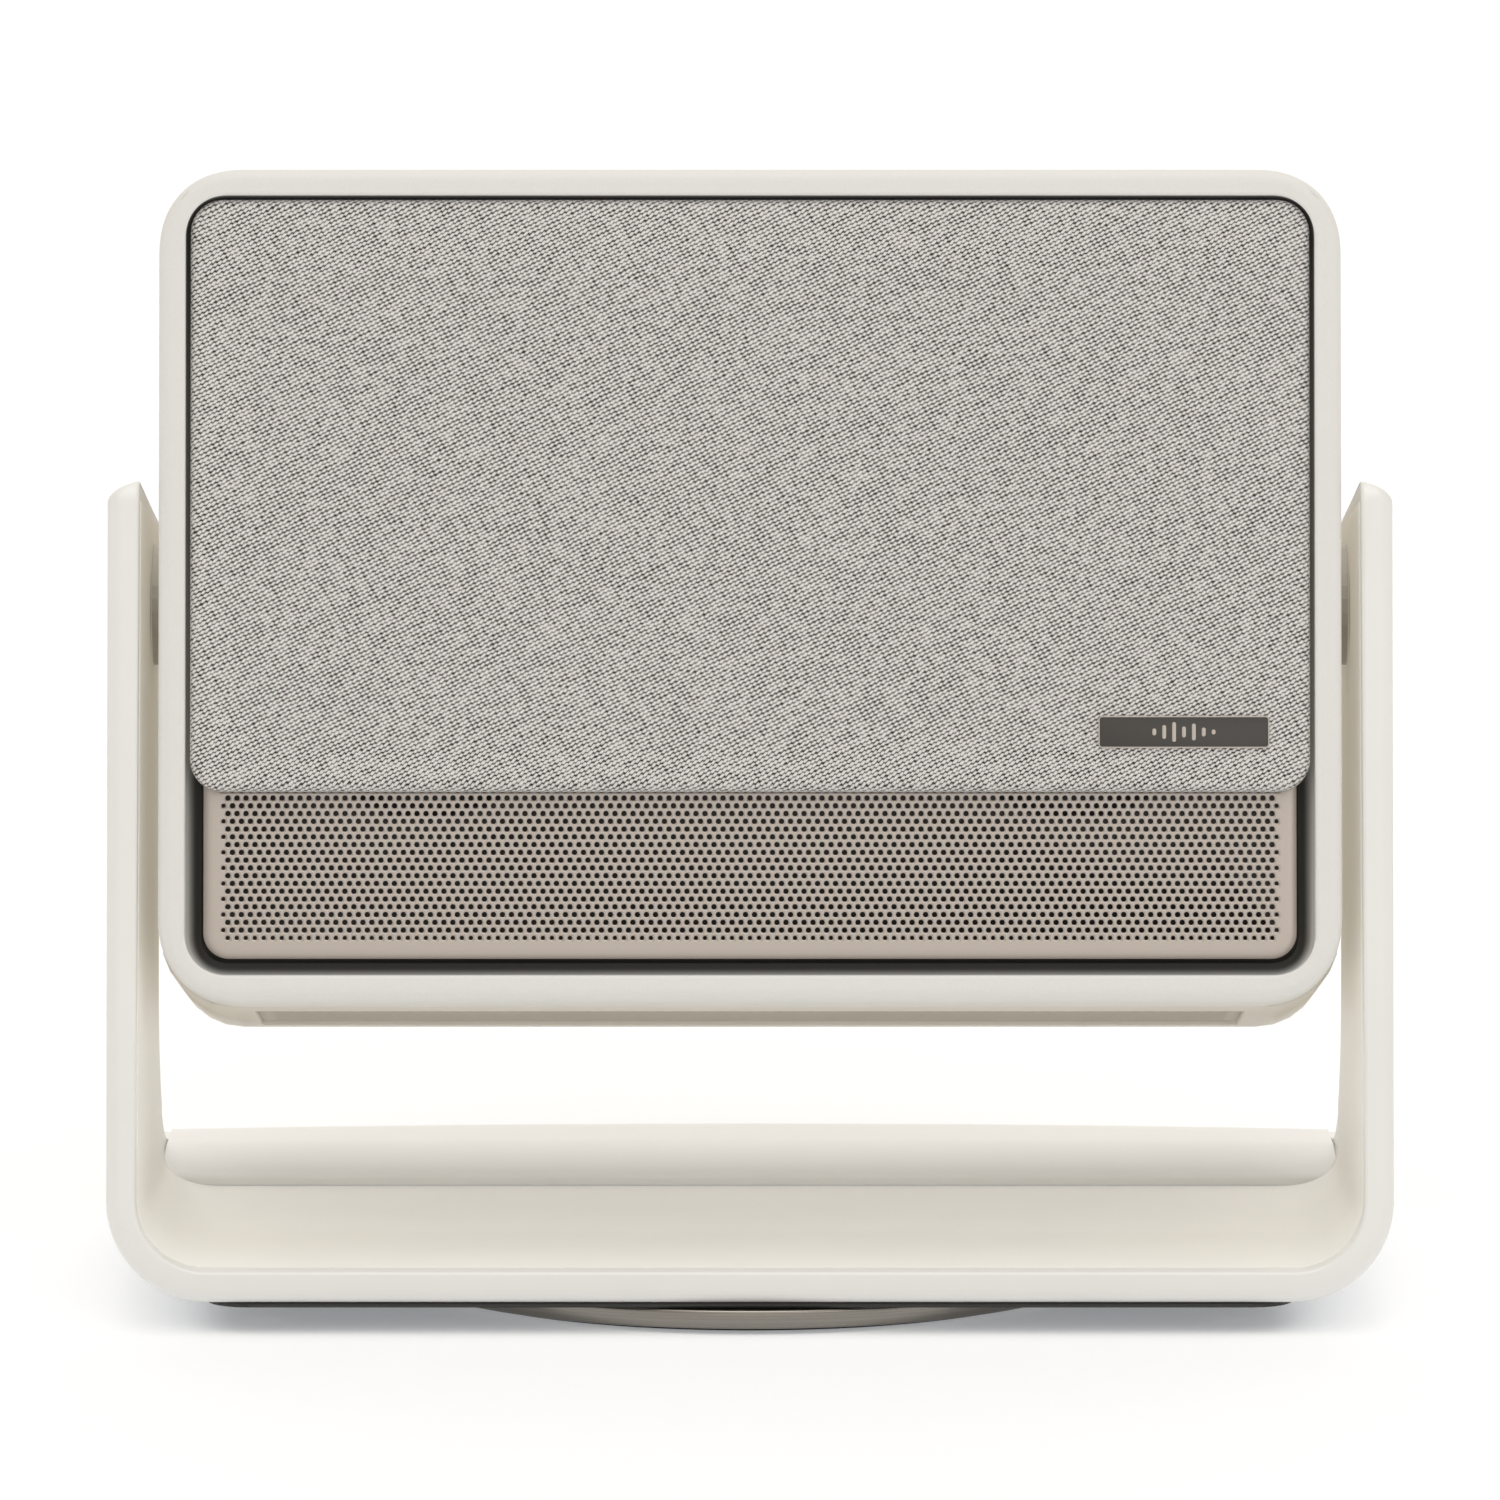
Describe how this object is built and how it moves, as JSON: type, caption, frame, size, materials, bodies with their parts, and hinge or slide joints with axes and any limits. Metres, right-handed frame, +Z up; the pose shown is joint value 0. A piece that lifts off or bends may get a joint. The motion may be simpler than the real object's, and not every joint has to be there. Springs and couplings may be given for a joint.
{
  "type": "smart speaker projector",
  "caption": "Loudspeaker and projector box with a sliding cloth cover over a perforated grille, tilting in a leaning U-shaped stand on a turntable foot.",
  "frame": {"origin": "centre of the foot pad's underside, on the turntable axis", "axes": "+Z up along the turntable axis, -Y towards the front with the grille and cover, +X to the right seen from the front"},
  "size_m": [0.2736, 0.1745, 0.2438],
  "materials": {
    "foot_rubber": "dull",
    "brushed_nickel": "brushed in rings",
    "steel": "turned",
    "stand_enamel": "satin",
    "liner_plastic": "matte",
    "dark_plastic": "matte",
    "pale_leather": "fine grain",
    "shell_plastic": "matte",
    "champagne_metal": "satin, perforated",
    "gloss_black": "gloss",
    "tinted_glass": "polished",
    "lens_glass": "coated",
    "circuit_board": "solder mask",
    "cone_paper": "paper and rubber",
    "fin_aluminium": "extruded",
    "grey_cloth": "basket weave",
    "brass": "machined"
  },
  "bodies": {
    "base": {"foot_pad": "foot_rubber", "base_disc": "brushed_nickel", "turntable_spindle": "steel", "retaining_ring": "steel"},
    "yoke": {"yoke_frame": "stand_enamel", "yoke_liner": "liner_plastic", "rear_housing": "stand_enamel", "ballast_weight": "steel", "bottom_cover": "dark_plastic", "cover_screw_1": "steel", "cover_screw_2": "steel", "cover_screw_3": "steel", "cover_screw_4": "steel", "bearing_plate": "steel", "hinge_shaft_left": "steel", "hinge_shaft_right": "steel", "hinge_washer_left": "liner_plastic", "hinge_washer_right": "liner_plastic", "hinge_nut_left": "steel", "hinge_nut_right": "steel"},
    "head": {"friction_block_left": "steel", "friction_block_right": "steel", "bezel": "pale_leather", "rear_shell": "shell_plastic", "underside_vent": "dark_plastic", "exhaust_grille": "dark_plastic", "port_plate": "dark_plastic", "power_inlet": "steel", "video_socket": "steel", "usb_socket": "steel", "audio_socket": "steel", "main_board": "circuit_board", "grille": "champagne_metal", "lens_panel": "gloss_black", "lens_window": "tinted_glass", "distance_sensor": "tinted_glass", "baffle": "dark_plastic", "speaker_box_left": "dark_plastic", "speaker_box_right": "dark_plastic", "speaker_basket_left": "steel", "speaker_basket_right": "steel", "speaker_cone_left": "cone_paper", "speaker_cone_right": "cone_paper", "lens_barrel": "dark_plastic", "front_lens": "lens_glass", "light_engine": "dark_plastic", "heat_sink": "fin_aluminium", "power_supply": "steel", "fan_housing": "dark_plastic", "switch_board": "circuit_board", "rail_frame": "steel", "cover_motor": "steel"},
    "front_cover": {"cover_tray": "dark_plastic", "cover_cloth": "grey_cloth", "badge": "dark_plastic", "cover_carriage": "dark_plastic", "cover_rack": "dark_plastic"},
    "pinion": {"drive_pinion": "brass"},
    "fan": {"fan_rotor": "dark_plastic"},
    "button": {"power_button": "shell_plastic"}
  },
  "joints": [
    {"name": "turntable", "type": "hinge", "parent": "base", "child": "yoke", "pos_m": [0, 0, 0.006], "axis": [0, 0, 1], "continuous": true},
    {"name": "head_tilt", "type": "hinge", "parent": "yoke", "child": "head", "pos_m": [0, 0.01206, 0.145], "axis": [-1, 0, 0], "range_deg": [-26, 109]},
    {"name": "cover_slide", "type": "slide", "parent": "head", "child": "front_cover", "axis": [0, -0.1925, -0.9813], "range_m": [0, 0.0368]},
    {"name": "pinion_spin", "type": "hinge", "parent": "head", "child": "pinion", "pos_m": [0.0264, -0.03211, 0.1557], "axis": [0, -0.9813, 0.1925], "range_deg": [0, 282.1]},
    {"name": "fan_spin", "type": "hinge", "parent": "head", "child": "fan", "pos_m": [0.078, 0.07292, 0.18197], "axis": [0, 0.9813, -0.1925], "continuous": true},
    {"name": "button_press", "type": "slide", "parent": "head", "child": "button", "axis": [0, -0.1925, -0.9813], "range_m": [0, 0.0008], "stiffness_N_per_m": 600, "springref_m": -0.0008}
  ],
  "couplings": [
    {"joint": "pinion_spin", "follows": "cover_slide", "rad_per_m": 133.33}
  ]
}
